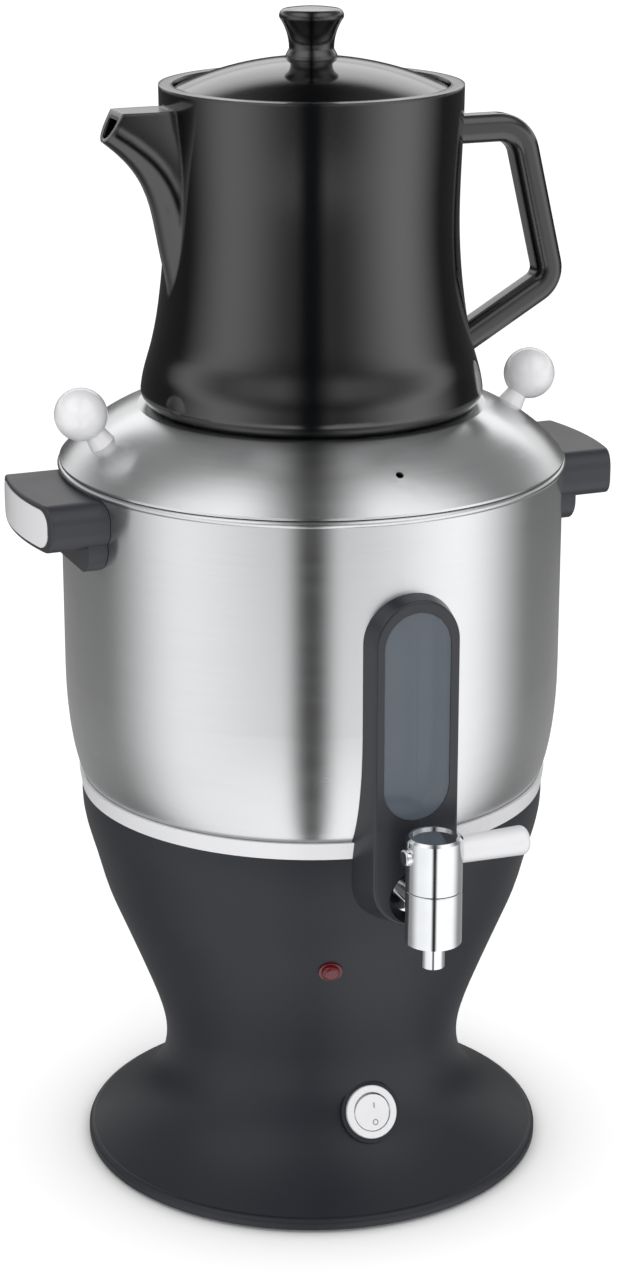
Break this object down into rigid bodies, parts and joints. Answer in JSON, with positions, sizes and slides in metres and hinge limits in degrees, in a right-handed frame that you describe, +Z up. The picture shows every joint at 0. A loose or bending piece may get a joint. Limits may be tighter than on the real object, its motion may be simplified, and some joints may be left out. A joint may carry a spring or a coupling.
{
  "type": "electric samovar",
  "caption": "Electric samovar: goblet base with switch and tap, steel boiler with level gauge and side handles, lid with ball knobs, glazed teapot standing on the lid.",
  "frame": {"origin": "middle of the foot ring, on the table", "axes": "+Z up, the tap and the level gauge face -Y, the two handles and the ball knobs lie along X, the teapot spout points along -X"},
  "size_m": [0.2716, 0.2607, 0.5236],
  "materials": {
    "base_plastic": "satin",
    "handle_plastic": "satin",
    "gauge_plastic": "satin",
    "cover_plastic": "matte",
    "white_gloss": "gloss",
    "white_trim": "satin",
    "foot_rubber": "matte",
    "seal_rubber": "matte",
    "dark_rubber": "matte",
    "vessel_steel": "satin",
    "lid_steel": "satin",
    "hardware_steel": "satin",
    "heater_alu": "satin",
    "tap_chrome": "polished",
    "tap_brass": "satin",
    "lens_red": "gloss",
    "lamp_glass": "gloss",
    "window_smoke": "gloss",
    "tube_glass": "gloss",
    "device_plastic": "matte",
    "block_plastic": "satin",
    "pot_glaze": "gloss"
  },
  "bodies": {
    "samovar": {"base_housing": "base_plastic", "bottom_cover": "cover_plastic", "foot_ring": "foot_rubber", "bottom_screws": "hardware_steel", "cord_gland": "dark_rubber", "terminal_block": "block_plastic", "switch_housing": "white_gloss", "switch_terminals": "tap_brass", "indicator_lens": "lens_red", "neon_lamp": "lamp_glass", "indicator_nut": "hardware_steel", "collar_ring": "white_trim", "boiler_body": "vessel_steel", "boiler_studs": "hardware_steel", "boiler_nuts": "hardware_steel", "heater_plate": "heater_alu", "heating_element": "hardware_steel", "thermostat": "device_plastic", "thermal_fuse": "block_plastic", "fuse_clip": "hardware_steel", "outlet_elbow": "hardware_steel", "tap_body": "tap_chrome", "tap_gasket": "seal_rubber", "tap_nut": "tap_brass", "gauge_frame": "gauge_plastic", "gauge_window": "window_smoke", "gauge_tube": "tube_glass", "gauge_fittings": "tap_brass", "gauge_seals": "seal_rubber", "gauge_nuts": "tap_brass", "handle_left": "handle_plastic", "handle_right": "handle_plastic", "handle_insert_left": "white_gloss", "handle_insert_right": "white_gloss", "handle_screws": "hardware_steel", "handle_screw_seals": "seal_rubber"},
    "lid": {"lid": "lid_steel", "lid_knob_left": "white_gloss", "lid_knob_right": "white_gloss", "lid_knob_screws": "hardware_steel"},
    "teapot": {"teapot_body": "pot_glaze"},
    "teapot_lid": {"teapot_lid": "pot_glaze"},
    "tap_handle": {"tap_plug": "tap_brass", "tap_o_rings": "dark_rubber", "tap_cap": "tap_chrome", "tap_lever": "white_gloss", "lever_pin": "tap_chrome"},
    "rocker": {"switch_rocker": "white_gloss"}
  },
  "joints": [
    {"name": "lid_lift", "type": "slide", "parent": "samovar", "child": "lid", "axis": [0, 0, 1], "range_m": [0, 0.06]},
    {"name": "teapot_lift", "type": "slide", "parent": "lid", "child": "teapot", "axis": [0, 0, 1], "range_m": [0, 0.06]},
    {"name": "teapot_lid_lift", "type": "slide", "parent": "teapot", "child": "teapot_lid", "axis": [0, 0, 1], "range_m": [0, 0.06]},
    {"name": "tap_turn", "type": "hinge", "parent": "samovar", "child": "tap_handle", "pos_m": [0, -0.1365, 0.19], "axis": [0, 0, -1], "range_deg": [0, 90]},
    {"name": "rocker_tilt", "type": "hinge", "parent": "samovar", "child": "rocker", "pos_m": [0, -0.071, 0.03949], "axis": [-1, 0, 0], "range_deg": [0, 12]}
  ]
}
